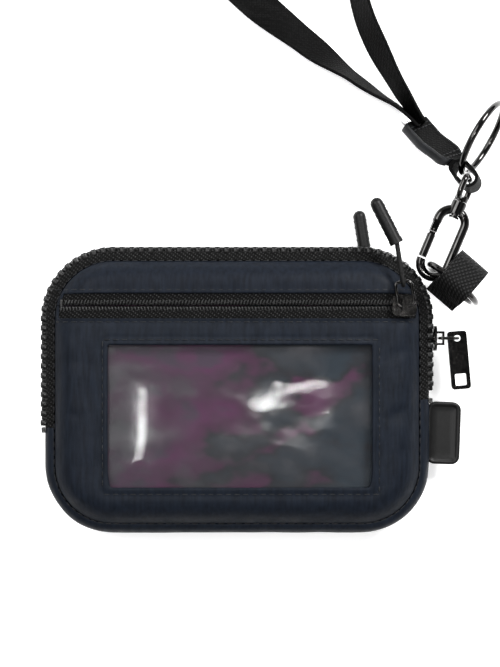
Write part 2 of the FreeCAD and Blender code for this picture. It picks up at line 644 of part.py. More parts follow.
def make_swivel():
    """The swivel eye: its post turns in the hook's boss, headed inside the oval."""
    start, end, half = size("eye_start"), size("eye_end"), size("eye_half_width")
    top = size("hook_straight") + size("hook_half_width")
    y_axis = V(0, 1, 0)
    head = Part.makeCylinder(1.8, 0.8, V(0, top - 3.1, 0), y_axis)
    post = Part.makeCylinder(1.2, start - top + 2.6, V(0, top - 2.4, 0), y_axis)
    base = Part.makeCylinder(2.5, 1.6, V(0, top + 3.4, 0), y_axis)
    corners = [V(-half, start, 0), V(half, start, 0), V(half, end, 0), V(-half, end, 0)]
    loop = round_tube(corners, size("eye_wire") / 2, 2.2)
    tilt = FreeCAD.Rotation(hook_frame().Rotation.multVec(V(1, 0, 0)), TAB_ACROSS)
    turn = tilt.multiply(hook_frame().Rotation)
    solid_part("swivel_eye", head.fuse([post, base, loop]), FreeCAD.Placement(hook_origin(), turn))


def tab_frame():
    """Placement at the eye's far bar: x along the tab, y across it, z out of its face."""
    origin = hook_origin() + HOOK_AXIS * size("eye_end")
    face = TAB_ALONG.cross(TAB_ACROSS)
    matrix = FreeCAD.Matrix(TAB_ALONG.x, TAB_ACROSS.x, face.x, 0, TAB_ALONG.y, TAB_ACROSS.y, face.y, 0,
                            TAB_ALONG.z, TAB_ACROSS.z, face.z, 0)
    return FreeCAD.Placement(origin, FreeCAD.Placement(matrix).Rotation)


def make_tab():
    """The folded tab: a loop round the eye and the key ring, then two layers sewn flat."""
    half, hole, layer = size("tab_width") / 2, size("tab_hole"), size("tab_layer")
    height = 2 * half
    low_x, high_x = -0.2, 4.4

    def stadium(radius):
        ends = [Part.makeCylinder(radius, height, V(x, 0, 0)) for x in (low_x, high_x)]
        box = Part.makeBox(high_x - low_x, 2 * radius, height, V(low_x, -radius, 0))
        return box.fuse(ends)
    outer = stadium(hole + layer)
    strip = Part.makeBox(size("tab_length") - high_x, 2 * layer + 0.8, height,
                         V(high_x, -layer - 0.4, 0))
    tab = outer.fuse(strip).cut(stadium(hole)).removeSplitter()
    turn = tab_frame().Rotation.multiply(FreeCAD.Rotation(V(1, 0, 0), -90))
    base = tab_frame().Base - TAB_ACROSS * half
    solid_part("strap_tab", tab, FreeCAD.Placement(base, turn))


def make_key_ring():
    """The ring for keys hangs in the tab's fold beside the eye."""
    torus = doc.addObject("Part::Torus", "key_ring")
    torus.setExpression("Radius1", "sizes.key_ring_radius")
    torus.setExpression("Radius2", "sizes.key_ring_wire / 2")
    toward = unit(V(0.49, 0.87, 0.12))
    toward = unit(toward - TAB_ACROSS * toward.dot(TAB_ACROSS))
    start = tab_frame().Base + TAB_ALONG * 4.0
    torus.Placement = FreeCAD.Placement(start + toward * size("key_ring_radius"),
                                        FreeCAD.Rotation(Z_AXIS, toward.cross(TAB_ACROSS)))
    keep(torus, "key_ring")


# The wrist strap stands on its edge: out of the tab, round its loop and back into the tab.
STRAP_ROUTE = [V(66.1, 95.5), V(60.2, 102.3), V(50.0, 108.0), V(30.0, 122.8), V(3.8, 144.0),
               V(-12.0, 160.5), V(-21.0, 179.0), V(-14.5, 197.0), V(5.0, 206.2), V(28.0, 200.5),
               V(40.5, 180.5), V(41.6, 159.5), V(44.5, 138.5), V(52.5, 121.0), V(61.9, 104.3),
               V(67.3, 96.5)]


def make_strap():
    """The strap's section times its length is its volume, which the printed line compares."""
    shape = flat_band(STRAP_ROUTE, size("strap_thickness"), size("strap_width"))
    length = sum((STRAP_ROUTE[i + 1] - STRAP_ROUTE[i]).Length for i in range(len(STRAP_ROUTE) - 1))
    arcs = route_arcs(STRAP_ROUTE)
    length -= sum(2 * cut - 2 * radius * half for _, _, _, cut, radius, half in arcs)
    section = size("strap_thickness") * size("strap_width")
    print("strap length %.1f, volume %.0f, section times length %.0f"
          % (length, shape.Volume, section * length))
    print("strap radii", ["%.0f" % arc[4] for arc in arcs])
    above_table = FreeCAD.Placement(V(0, 0, 0.1), FreeCAD.Rotation())
    solid_part("wrist_strap", shape, above_table)


def make_tag():
    """The plain moulded flap sewn into the right side seam."""
    body = new_body("rubber_tag", "sizes.shell_height + 1.2")
    sides = ("0", "sizes.tag_width", "-sizes.tag_length / 2", "sizes.tag_length / 2", "3")
    pad(body, rectangle(body, "outline", *sides), "sizes.tag_thickness")
    doc.recompute()
    body.Placement = FreeCAD.Placement(V(size("pouch_width") / 2 + 0.05, -14.8, 0),
                                       FreeCAD.Rotation(Z_AXIS, -2))


make_shell()
pocket_zip("front", "sizes.pouch_height", False, "front_slider_place")
pull_set("front", size("front_slider_place") + 0.6, size("pouch_height"), 1)
pocket_zip("back", "sizes.back_step", True, "back_slider_place")
pull_set("back", size("back_slider_place"), size("back_step"), -1)
make_main_zip()
make_tag()
make_ribbon()
make_ring()
make_hook()
make_swivel()
make_tab()
make_key_ring()
make_strap()
doc.recompute()

for item in doc.Objects:
    if "Invalid" in item.State or "Error" in item.State:
        raise RuntimeError("%s failed: %s" % (item.Label, item.State))
os.makedirs("parts", exist_ok=True)
for node in NODES:
    shape = node.Shape
    if shape.isNull() or not shape.isValid():
        raise RuntimeError("bad shape: " + node.Label)
    shape.exportStep("parts/%s.step" % node.Label)
print(len(NODES), "sub-parts written")
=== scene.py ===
import json
import math

import bmesh
import bpy
from mathutils import Matrix, Vector, noise


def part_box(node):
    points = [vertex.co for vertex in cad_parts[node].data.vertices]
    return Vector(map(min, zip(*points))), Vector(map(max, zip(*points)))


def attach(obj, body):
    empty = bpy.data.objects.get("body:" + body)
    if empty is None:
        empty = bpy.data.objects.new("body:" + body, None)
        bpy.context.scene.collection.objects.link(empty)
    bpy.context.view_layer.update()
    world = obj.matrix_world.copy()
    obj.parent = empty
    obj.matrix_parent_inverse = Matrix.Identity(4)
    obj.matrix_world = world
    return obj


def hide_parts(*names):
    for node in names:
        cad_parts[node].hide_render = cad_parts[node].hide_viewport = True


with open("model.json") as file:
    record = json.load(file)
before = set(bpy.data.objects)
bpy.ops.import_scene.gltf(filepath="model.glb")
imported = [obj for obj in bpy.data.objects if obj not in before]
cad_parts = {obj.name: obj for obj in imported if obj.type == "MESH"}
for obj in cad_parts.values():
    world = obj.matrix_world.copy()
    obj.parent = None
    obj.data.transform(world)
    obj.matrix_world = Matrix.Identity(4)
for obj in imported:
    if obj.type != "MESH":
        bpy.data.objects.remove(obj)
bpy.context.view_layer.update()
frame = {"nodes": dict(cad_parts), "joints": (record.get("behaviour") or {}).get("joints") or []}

MM = 0.001
NODES = frame["nodes"]
JOINTS = {joint["name"]: joint for joint in frame["joints"]}

# ------------------------------------------------------------ sizes, read from the frame, in mm
HALF_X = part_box("bottom_gusset")[1].x / MM
HALF_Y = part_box("main_tape_front")[1].y / MM
CORNER = 24.0          # radius of the pouch's corners
SEAM_INSET = 3.4       # from the outline to the seam between a panel and the zip tape
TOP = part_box("front_lower_panel")[1].z / MM
MIDDLE = TOP / 2
FRONT_SEAM, BACK_SEAM = 16.4, 5.6     # heights of the two seams
ZIP_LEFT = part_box("main_tape_front")[0].y / MM
ZIP_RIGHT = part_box("rubber_tag")[1].y / MM + 1.4
SLOT_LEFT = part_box("front_tape_lower")[0].x / MM + 0.5
SLOT_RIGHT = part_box("front_tape_lower")[1].x / MM - 0.5
ZIP_LINE = (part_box("front_coil_lower")[1].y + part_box("front_coil_upper")[0].y) / 2 / MM
SLOT_LOW, SLOT_HIGH = ZIP_LINE - 4.4, ZIP_LINE + 4.4
FILM_LOW, FILM_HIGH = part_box("window_film")
FILM_MARGIN = 2.4      # film that is sewn in behind the edge of the opening
WINDOW = (FILM_LOW.x / MM + FILM_MARGIN, FILM_HIGH.x / MM - FILM_MARGIN,
          FILM_LOW.y / MM + FILM_MARGIN, FILM_HIGH.y / MM - FILM_MARGIN)


# ------------------------------------------------------------ node materials
class Shader:
    """A Principled material with short helpers for adding procedural texture nodes."""

    def __init__(self, name, color, roughness, **sockets):
        self.material = bpy.data.materials.new(name)
        self.material.use_nodes = True
        self.tree = self.material.node_tree
        self.bsdf = self.tree.nodes["Principled BSDF"]
        self.bsdf.inputs["Base Color"].default_value = (*color, 1)
        self.bsdf.inputs["Roughness"].default_value = roughness
        for title, value in sockets.items():
            self.bsdf.inputs[title.replace("_", " ")].default_value = value
        self.coords = self.tree.nodes.new("ShaderNodeTexCoord").outputs["Object"]
        self.normal = None

    def add(self, kind, links=(), **values):
        """A new node. A value whose name starts with in_ goes to that socket, any other to the node."""
        node = self.tree.nodes.new("ShaderNode" + kind)
        for key, value in values.items():
            if key.startswith("in_"):
                node.inputs[key[3:].replace("_", " ")].default_value = value
            else:
                setattr(node, key, value)
        for target, source in links:
            self.tree.links.new(source, node.inputs[target])
        return node

    def scaled(self, scale, turn=0.0):
        """Object coordinates in millimetres, stretched by scale and turned about Z."""
        node = self.add("Mapping", [("Vector", self.coords)])
        node.inputs["Scale"].default_value = [1000 * s for s in scale]
        node.inputs["Rotation"].default_value = (0, 0, turn)
        return node.outputs["Vector"]

    def noise(self, scale, detail, turn=0.0):
        """Soft blotches, scale per millimetre along each axis."""
        return self.add("TexNoise", [("Vector", self.scaled(scale, turn))], in_Scale=1.0,
                        in_Detail=detail).outputs["Fac"]

    def across(self):
        """How far to the right of the middle a point lies, in millimetres."""
        return self.add("SeparateXYZ", [("Vector", self.scaled((1, 1, 1)))]).outputs["X"]

    def wave(self, period, direction, turn=0.0):
        """Stripes that repeat every period, in millimetres."""
        vector = self.scaled((1, 1, 1), turn)
        return self.add("TexWave", [("Vector", vector)], bands_direction=direction,
                        in_Scale=math.pi / 10 / period).outputs["Fac"]

    def math(self, operation, first, second):
        """Arithmetic on two values, each a number or a socket."""
        node = self.add("Math", operation=operation)
        for index, value in enumerate((first, second)):
            if isinstance(value, (int, float)):
                node.inputs[index].default_value = value
            else:
                self.tree.links.new(value, node.inputs[index])
        return node.outputs[0]

    def bump(self, height, strength, distance_mm):
        """Adds relief on top of any relief that is there already."""
        links = [("Height", height)]
        if self.normal is not None:
            links.append(("Normal", self.normal))
        node = self.add("Bump", links, in_Strength=strength, in_Distance=distance_mm * MM)
        self.normal = node.outputs["Normal"]
        self.tree.links.new(self.normal, self.bsdf.inputs["Normal"])

    def ramp(self, factor, stops, socket="Base Color"):
        """Drives a socket by colour stops over a factor from 0 to 1."""
        node = self.add("ValToRGB", [("Fac", factor)])
        elements = node.color_ramp.elements
        while len(elements) < len(stops):
            elements.new(0.5)
        for element, (place, color) in zip(elements, stops):
            element.position = place
            element.color = (*color, 1)
        self.tree.links.new(node.outputs["Color"], self.bsdf.inputs[socket])


def grey(value):
    return (value, value, value)


def nylon():
    """Crinkled black nylon with a charcoal blue cast: fine upright crinkled relief over a plain weave, with
    painted shade and light of the crinkling as upright darker and lighter streaks in the colour.
    """
    s = Shader("nylon", grey(0.01), 0.55, Specular_IOR_Level=0.1)
    # painted shade and light: upright streaks of darker and lighter colour stand for the shading of the
    # crinkled cloth
    crinkle_shading = s.noise((0.9, 0.12, 0.9), 6)
    s.ramp(crinkle_shading, [(0.3, (0.0022, 0.0036, 0.0066)), (0.7, (0.0058, 0.0086, 0.0145))])
    s.ramp(s.noise((0.25, 0.12, 0.2), 4), [(0.3, grey(0.46)), (0.7, grey(0.64))], "Roughness")
    s.bump(s.noise((0.08, 0.12, 0.1), 3), 0.5, 0.8)
    s.bump(s.noise((1.5, 0.16, 1.5), 5), 0.45, 0.14)
    s.bump(s.math("MULTIPLY", s.wave(0.42, "X"), s.wave(0.42, "Y")), 0.3, 0.05)
    return s.material


def lining():
    """Plum lining cloth that goes over to charcoal towards the right."""
    s = Shader("lining", grey(0.03), 0.8, Specular_IOR_Level=0.2, Sheen_Weight=0.1)
    drift = s.math("MULTIPLY", s.across(), 0.0042)
    blotches = s.math("ADD", s.noise((0.045, 0.07, 0.05), 3, 0.5), drift)
    s.ramp(blotches, [(0.28, (0.040, 0.026, 0.042)), (0.36, (0.060, 0.017, 0.048)),
                      (0.50, (0.044, 0.013, 0.034)), (0.57, (0.009, 0.010, 0.013)),
                      (0.66, (0.010, 0.017, 0.024))])
    s.bump(s.math("MULTIPLY", s.wave(0.5, "X"), s.wave(0.5, "Y")), 0.1, 0.03)
    return s.material


def clear_film():
    """Clear vinyl in soft ripples that catch the light, greyed and made more opaque in broad patches growing
    towards the left: partly real clouding of the vinyl, partly a painted reflection.
    """
    s = Shader("clear_film", (0.06, 0.06, 0.065), 0.10, Specular_IOR_Level=0.5, Coat_Weight=0.6,
               Coat_Roughness=0.05)
    drift = s.math("MULTIPLY", s.across(), 0.0015)
    # painted reflection: grey, more opaque patches, stronger to the left, are partly real clouding of the
    # vinyl and partly the light reflected in it painted in
    haze_and_painted_reflection = s.math("SUBTRACT", s.noise((0.05, 0.07, 0.05), 3, 0.4), drift)
    s.ramp(haze_and_painted_reflection, [(0.35, grey(0.06)), (0.55, grey(0.20)), (0.75, grey(0.55))], "Alpha")
    s.ramp(s.noise((0.06, 0.10, 0.05), 3, 0.2), [(0.35, grey(0.05)), (0.75, grey(0.2))], "Roughness")
    s.bump(s.noise((0.05, 0.08, 0.05), 2, 0.3), 0.25, 1.2)
    return s.material


def zip_tape():
    """Herringbone zip tape, its colour darkest in the grooves between the woven rows: painted shade, broken
    up by a random tone.
    """
    s = Shader("zip_tape", grey(0.012), 0.7, Specular_IOR_Level=0.07)
    period, turn = 0.9, 0.6
    rows = s.math("MULTIPLY", s.wave(period, "X", turn), s.wave(period * 1.3, "Y", turn))
    # painted shade: the colour follows the relief's woven rows, darkest in their grooves, times a random tone
    weave_and_groove_shade = s.math("MULTIPLY", rows, s.noise((1.1, 1.1, 1.1), 2))
    s.ramp(weave_and_groove_shade, [(0.05, grey(0.001)), (0.30, grey(0.007)), (0.55, grey(0.035))])
    s.bump(rows, 0.8, 0.25)
    return s.material


def webbing():
    """Close woven webbing: small raised cells in rows, with painted shade darkening the colour towards the
    low edges of each cell.
    """
    s = Shader("webbing", grey(0.012), 0.6, Specular_IOR_Level=0.05)
    weave_and_groove_shade = s.add("TexVoronoi", [("Vector", s.scaled((1.1, 1.1, 1.1)))], in_Scale=1.0,
                  in_Randomness=0.35).outputs["Distance"]
    # painted shade: the colour is darkest at the cell edges, where the relief is lowest
    s.ramp(weave_and_groove_shade, [(0.0, grey(0.0055)), (0.55, grey(0.0005))])
    s.bump(s.math("SUBTRACT", 1.0, weave_and_groove_shade), 0.7, 0.25)
    return s.material


def ribbon_weave():
    """The ribbon's basket weave of small raised lozenges in rows, with painted shade darkening the grooves
    between them.
    """
    s = Shader("ribbon", grey(0.012), 0.5, Specular_IOR_Level=0.12)
    cell, turn = 0.85, 0.5
    lozenge = s.math("MULTIPLY", s.wave(cell, "DIAGONAL", turn), s.wave(cell, "DIAGONAL", turn + math.pi / 2))
    # painted shade: the colour follows the lozenge relief, darkest in the grooves
    s.ramp(lozenge, [(0.05, grey(0.001)), (0.8, grey(0.014))])
    s.bump(lozenge, 0.8, 0.3)
    return s.material


def metal():
    """Polished gunmetal plating, a little smeared by handling."""
    s = Shader("gunmetal", (0.105, 0.105, 0.112), 0.1, Metallic=1.0, Coat_Weight=0.5)
    s.ramp(s.noise((0.35, 0.35, 0.35), 4), [(0.35, (0.016, 0.0155, 0.015)), (0.7, (0.042, 0.040, 0.038))])
    s.ramp(s.noise((1.2, 1.2, 1.2), 4), [(0.3, grey(0.04)), (0.75, grey(0.16))], "Roughness")
    s.bump(s.noise((3.0, 3.0, 3.0), 3), 0.06, 0.05)
    return s.material


def plastic(name, value, roughness, coat=0.25):
    """Near-black moulded plastic or rubber with a fine grain."""
    s = Shader(name, grey(value), roughness, Specular_IOR_Level=0.16, Coat_Weight=coat, Coat_Roughness=0.3)
    s.ramp(s.noise((0.8, 0.8, 0.8), 4), [(0.3, grey(value * 0.7)), (0.75, grey(value * 1.5))])
    s.bump(s.noise((4.0, 4.0, 4.0), 3), 0.15, 0.06)
    return s.material


def thread():
    """Twisted black sewing thread."""
    s = Shader("thread", grey(0.01), 0.4, Specular_IOR_Level=0.25)
    s.ramp(s.noise((0.5, 0.5, 0.5), 2), [(0.35, (0.0015, 0.0018, 0.0025)), (0.7, (0.006, 0.007, 0.009))])
    s.bump(s.wave(0.25, "DIAGONAL"), 0.5, 0.05)
    return s.material


def backdrop():
    """A bright white table top."""
    s = Shader("table", (0.93, 0.93, 0.93), 0.6)
    s.ramp(s.noise((0.02, 0.02, 0.02), 3), [(0.3, (0.92, 0.92, 0.925)), (0.7, (0.95, 0.95, 0.95))])
    s.bump(s.noise((0.8, 0.8, 0.8), 3), 0.02, 0.05)
    s.bsdf.inputs["Emission Color"].default_value = (1, 1, 1, 1)
    s.bsdf.inputs["Emission Strength"].default_value = 0.42
    return s.material


SLOTS = {"nylon": nylon(), "lining": lining(), "clear_film": clear_film(), "zip_tape": zip_tape(),
         "zip_coil": plastic("zip_coil", 0.006, 0.3), "gunmetal": metal(),
         "pull_rubber": plastic("pull_rubber", 0.003, 0.42, 0.05), "cord": plastic("cord", 0.004, 0.6, 0.0),
         "webbing": webbing()}
THREAD = thread()


# ------------------------------------------------------------ mesh helpers
def mesh_piece(name, vertices, faces, slot, body, node_names=(), material=None, smooth=True):
    """A piece from points in millimetres, riding on a body and standing for CAD nodes."""
    mesh = bpy.data.meshes.new(name)
    mesh.from_pydata([(x * MM, y * MM, z * MM) for x, y, z in vertices], [], faces)
    mesh.validate()
    mesh.polygons.foreach_set("use_smooth", [smooth] * len(mesh.polygons))
    piece = bpy.data.objects.new(name, mesh)
    bpy.context.scene.collection.objects.link(piece)
    piece.data.materials.append(material or SLOTS[slot])
    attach(piece, body)
    if node_names:
        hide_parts(*node_names)
    return piece


def thicken(piece, thickness, offset=-1.0, levels=0):
    """Gives a sheet its thickness, inwards or, at offset 0, evenly on both sides."""
    shell = piece.modifiers.new("thickness", "SOLIDIFY")
    shell.thickness = thickness * MM
    shell.offset = offset
    if levels:
        smooth = piece.modifiers.new("smooth", "SUBSURF")
        smooth.levels = smooth.render_levels = levels
    return piece


def soften(piece, width):
    """Rounds the sharp edges of a hard piece."""
    bevel = piece.modifiers.new("edges", "BEVEL")
    bevel.width = width * MM
    bevel.segments = 3
    bevel.limit_method = "ANGLE"
    bevel.harden_normals = True


def outline_point(distance, inset):
    """A point on the pouch's rounded outline and its outward normal, counted clockwise from the
    left end of the main zip, over the top, down the right side and back along the bottom."""
    flat_x, flat_y = HALF_X - CORNER, HALF_Y - CORNER
    bend = CORNER * math.pi / 2
    runs = [("side", -1, ZIP_LEFT, flat_y), ("turn", -1, 1, math.pi), ("top", 1, -flat_x, flat_x),
            ("turn", 1, 1, math.pi / 2), ("side", 1, flat_y, -flat_y), ("turn", 1, -1, 0.0),
            ("top", -1, flat_x, -flat_x), ("turn", -1, -1, -math.pi / 2), ("side", -1, -flat_y, ZIP_LEFT)]
    rounding = 1e-9
    for kind, sign, first, last in runs:
        length = bend if kind == "turn" else abs(last - first)
        if distance > length + rounding:
            distance -= length
            continue
        if kind == "turn":
            angle = last - distance / CORNER
            normal = Vector((math.cos(angle), math.sin(angle), 0))
            centre = Vector((sign * flat_x, first * flat_y, 0))
            return centre + normal * (CORNER - inset), normal
        step = first + (distance if last > first else -distance)
        if kind == "side":
            return Vector((sign * (HALF_X - inset), step, 0)), Vector((sign, 0, 0))
        return Vector((step, sign * (HALF_Y - inset), 0)), Vector((0, sign, 0))
    return outline_point(0.0, inset)


PERIMETER = 4 * (HALF_X + HALF_Y - 2 * CORNER) + 2 * math.pi * CORNER
ZIP_LENGTH = (2 * (HALF_Y - CORNER) - ZIP_LEFT - ZIP_RIGHT + math.pi * CORNER
              + 2 * (HALF_X - CORNER))


def outline_band(name, start, end, profile, slot, node):
    """A strip of cloth swept along the outline; profile gives (inset, height) across it."""
    thickness, step_length = 0.7, 1.6
    count = int((end - start) / step_length)
    vertices, faces = [], []
    for step in range(count + 1):
        distance = start + (end - start) * step / count
        for column, (inset, height) in enumerate(profile):
            point, normal = outline_point(distance, inset)
            ripple = 0.22 * noise.noise(Vector((distance * 0.11, column * 0.4, height * 0.2)))
            point = point + normal * ripple
            vertices.append((point.x, point.y, height))
    width = len(profile)
    for step in range(count):
        for column in range(width - 1):
            a = step * width + column
            faces.append((a, a + 1, a + 1 + width, a + width))
    thicken(mesh_piece(name, vertices, faces, slot, "pouch", (node,)), thickness, 0.0, 1)


def inside_depth(x, y, inset=0.0):
    """How far a point lies inside the outline."""
    qx, qy = abs(x) - (HALF_X - CORNER), abs(y) - (HALF_Y - CORNER)
    outside = math.hypot(max(qx, 0), max(qy, 0))
    return CORNER - inset - (outside + min(max(qx, qy), 0))


def eased(share):
    """Goes from 0 to 1 as share does, with soft ends."""
    share = min(max(share, 0.0), 1.0)
    return share * share * (3 - 2 * share)


def hump(value, centre, width):
    """A smooth rise of height 1."""
    return math.exp(-((value - centre) / width) ** 2)


def box_distance(x, y, box):
    """Signed distance to a box: positive outside."""
    low_x, high_x, low_y, high_y = box
    dx = max(low_x - x, x - high_x)
    dy = max(low_y - y, y - high_y)
    if dx > 0 and dy > 0:
        return math.hypot(dx, dy)
    return max(dx, dy)


SLOT = (SLOT_LEFT, SLOT_RIGHT, SLOT_LOW, SLOT_HIGH)
# soft creases in the front: two ends, depth and width of each
CREASES = [((68, -3), (56, -7), 0.9, 1.6), ((66, -8), (52, -9), 0.5, 2.2),
           ((-67, -4), (-55, -9), 0.5, 1.8), ((-62, 40), (-45, 37), 0.4, 2.4),
           ((40, 42), (58, 36), 0.45, 2.2), ((-20, -45), (-8, -40), 0.3, 2.5),
           ((30, -46), (42, -40), 0.35, 2.4), ((-66, 12), (-52, 10), 0.35, 2.2),
           ((62, 16), (52, 12), 0.35, 2.0)]


def crease_depth(x, y):
    """How deep the creases are at a point: deepest at each one's first end."""
    total = 0.0
    for (ax, ay), (bx, by), depth, width in CREASES:
        dx, dy = bx - ax, by - ay
        along = max(0.0, min(1.0, ((x - ax) * dx + (y - ay) * dy) / (dx * dx + dy * dy)))
        gap = math.hypot(x - ax - along * dx, y - ay - along * dy)
        total += depth * (1 - 0.6 * along) * math.exp(-(gap / width) ** 2)
    return total


def rim_rise(x, y):
    """From 0 at a panel's seam to 1 where it has rolled over to its flat."""
    roll = 10.0
    depth = inside_depth(x, y, SEAM_INSET)
    return 1 - (1 - min(max(depth, 0) / roll, 1.0)) ** 2.6


def front_height(x, y):
    """The front: a belly over the cards, a dip along the zip, and folded, stitched edges."""
    rise = rim_rise(x, y)
    height = FRONT_SEAM + (TOP + 0.1 - FRONT_SEAM) * rise
    belly = hump(x, 0, 60) * hump(y, -12, 36)
    dip = hump(y, ZIP_LINE, 9)
    height += (1.1 * belly - 0.9 * dip) * rise
    to_window = box_distance(x, y, WINDOW)
    to_slot = box_distance(x, y, SLOT)
    height += 0.25 * hump(to_window, 0.8, 1.0) + 0.25 * hump(to_slot, 0.4, 0.6)
    height -= 0.38 * hump(to_window, 2.6, 0.75) + 0.3 * hump(to_slot, 1.4, 0.6)
    swell = noise.noise(Vector((x * 0.06, y * 0.1, 3.1)))
    pucker = noise.noise(Vector((x * 0.35, y * 0.10, 9.7)))
    return height + (0.20 * swell + 0.10 * pucker - crease_depth(x, y)) * rise


def back_height(x, y):
    """The back: a belly that rests on the table, and a shallower strip round the back zip."""
    rise = rim_rise(x, y)
    rest = 0.25 + 4.6 * eased((y - 12.0) / 11.0)
    height = BACK_SEAM - (BACK_SEAM - rest) * rise
    height += 0.12 * rise * (1 + noise.noise(Vector((x * 0.08, y * 0.1, 5.5))))
    return height


def spread(low, high, step):
    """Even places from low up to high, without high itself."""
    count = max(1, int(math.ceil((high - low) / step)))
    return [low + (high - low) * i / count for i in range(count)]


def panel(name, height_of, keep, node, turned, slot="nylon", thickness=0.9):
    """A cloth panel on a grid that follows the outline at its rim and straight lines inside."""
    rows_fixed = (WINDOW[2], WINDOW[3], SLOT_LOW, ZIP_LINE, SLOT_HIGH)
    columns_fixed = (WINDOW[0], WINDOW[1], SLOT_LEFT, SLOT_RIGHT)
    hx, hy, radius = HALF_X - SEAM_INSET, HALF_Y - SEAM_INSET, CORNER - SEAM_INSET
    flat = hy - radius
    cell, rim, arc_steps = 1.0, 1.6, 22
    rows = []
    arc = [flat + radius * math.sin(math.pi / 2 * i / arc_steps) for i in range(arc_steps + 1)]
    marks = sorted({-flat, flat, *[m for m in rows_fixed if -flat < m < flat]})
    for low, high in zip(marks, marks[1:]):
        rows += spread(low, high, cell)
    upper = sorted(set(arc) | {m for m in rows_fixed if flat < m < hy})
    rows = [-r for r in reversed(arc[1:])] + rows + upper
    marks = sorted({-hx, hx, *columns_fixed})
    columns = []
    for low, high in zip(marks, marks[1:]):
        columns += spread(low, high, cell)
    columns.append(hx)
    inner = hx - rim
    vertices = []
    for y in rows:
        over = max(abs(y) - flat, 0)
        width = hx - radius + math.sqrt(max(radius * radius - over * over, 0))
        limit = width - rim
        for x in columns:
            if abs(x) <= inner:
                place = x * min(1.0, limit / inner)
            else:
                place = math.copysign(limit + (abs(x) - inner) / rim * (width - limit), x)
            vertices.append((place, y, height_of(place, y)))
    faces = []
    count = len(columns)
    for r in range(len(rows) - 1):
        for c in range(count - 1):
            middle_y = (rows[r] + rows[r + 1]) / 2
            middle_x = (columns[c] + columns[c + 1]) / 2
            if keep(middle_x, middle_y):
                a = r * count + c
                ring = (a, a + 1, a + 1 + count, a + count)
                faces.append(tuple(reversed(ring)) if turned else ring)
    used = sorted({index for face in faces for index in face})
    renumber = {old: new for new, old in enumerate(used)}
    piece = mesh_piece(name, [vertices[i] for i in used],
                       [tuple(renumber[i] for i in face) for face in faces], slot, "pouch", (node,))
    thicken(piece, thickness, levels=1)


def in_box(x, y, box):
    return box_distance(x, y, box) < 0


def pocket_height(x, y):
    return back_height(x, y) + 1.3


def make_panels():
    """The four cloth panels, and the back pocket's lining, which lies against the cloth."""
    def front_lower(x, y):
        return y < ZIP_LINE and not in_box(x, y, SLOT) and not in_box(x, y, WINDOW)

    def front_upper(x, y):
        return y > ZIP_LINE and not in_box(x, y, SLOT)

    def back_lower(x, y):
        return y < SLOT_LOW

    def back_upper(x, y):
        return y > SLOT_LOW and not in_box(x, y, SLOT)

    def back_pocket(x, y):
        return y < SLOT_LOW - 1 and inside_depth(x, y, SEAM_INSET) > 1.5

    panel("front_lower_cloth", front_height, front_lower, "front_lower_panel", False)
    panel("front_upper_cloth", front_height, front_upper, "front_upper_panel", False)
    panel("back_lower_cloth", back_height, back_lower, "back_lower_panel", True)
    panel("back_upper_cloth", back_height, back_upper, "back_upper_panel", True)
    panel("back_pocket_cloth", pocket_height, back_pocket, "back_pocket_lining", True, "lining", 0.4)


def make_bands():
    """The zip tape between the panels and the teeth, and the gusset along the bottom."""
    tuck = 0.8
    bulge = [(SEAM_INSET, FRONT_SEAM), (1.9, 15.7), (0.6, 14.4), (-0.2, 12.6)]
    outline_band("front_zip_tape", -tuck, ZIP_LENGTH + tuck, bulge, "zip_tape", "main_tape_front")
    lower = [(-0.2, 9.4), (0.6, 7.6), (1.9, 6.3), (SEAM_INSET, BACK_SEAM)]
    outline_band("back_zip_tape", -tuck, ZIP_LENGTH + tuck, lower, "zip_tape", "main_tape_back")
    whole = [(SEAM_INSET, FRONT_SEAM), (1.2, 15.4), (0.1, 13.4), (-0.4, 11.0), (0.1, 8.4),
             (1.2, 6.5), (SEAM_INSET, BACK_SEAM)]
    outline_band("gusset_cloth", ZIP_LENGTH, PERIMETER, whole, "nylon", "bottom_gusset")


def blob(vertices, faces, centre, along, side, out, size, rings=6, sides=8, power=0.7):
    """Adds a rounded block (a soft box between an ellipsoid and a cuboid)."""
    base = len(vertices)

    def soft(value):
        return math.copysign(abs(value) ** power, value)
    for r in range(rings + 1):
        polar = math.pi * r / rings
        for s in range(sides):
            turn = 2 * math.pi * (s + 0.5) / sides
            a = soft(math.cos(polar)) * size[0] / 2
            ring = abs(math.sin(polar)) ** power
            b = ring * soft(math.cos(turn)) * size[1] / 2
            c = ring * soft(math.sin(turn)) * size[2] / 2
            vertices.append(tuple(centre + along * a + side * b + out * c))
    for r in range(rings):
        for s in range(sides):
            a = base + r * sides + s
            b = base + r * sides + (s + 1) % sides
            faces.append((a, b, b + sides, a + sides))


TOOTH_PITCH = 3.4


def tooth_row(name, start, lift, node):
    """Chunky moulded teeth that hook past each other over the middle of the chain."""
    vertices, faces = [], []
    up = Vector((0, 0, 1))
    pitch, end_gap, size = TOOTH_PITCH, 2.6, (4.0, 2.1, 2.5)
    for index in range(int((ZIP_LENGTH - start - end_gap) / pitch) + 1):
        point, normal = outline_point(start + pitch * index, -0.7)
        along = Vector((-normal.y, normal.x, 0))
        centre = point + up * (MIDDLE + lift)
        blob(vertices, faces, centre, up, along, normal, size, 8, 12, 0.3)
    mesh_piece(name, vertices, faces, "zip_coil", "pouch", (node,))


def make_teeth():
    """Two rows, half a pitch apart."""
    first, lift = 1.2, 1.3
    tooth_row("front_tooth_row", first, lift, "main_teeth_front")
    tooth_row("back_tooth_row", first + TOOTH_PITCH / 2, -lift, "main_teeth_back")


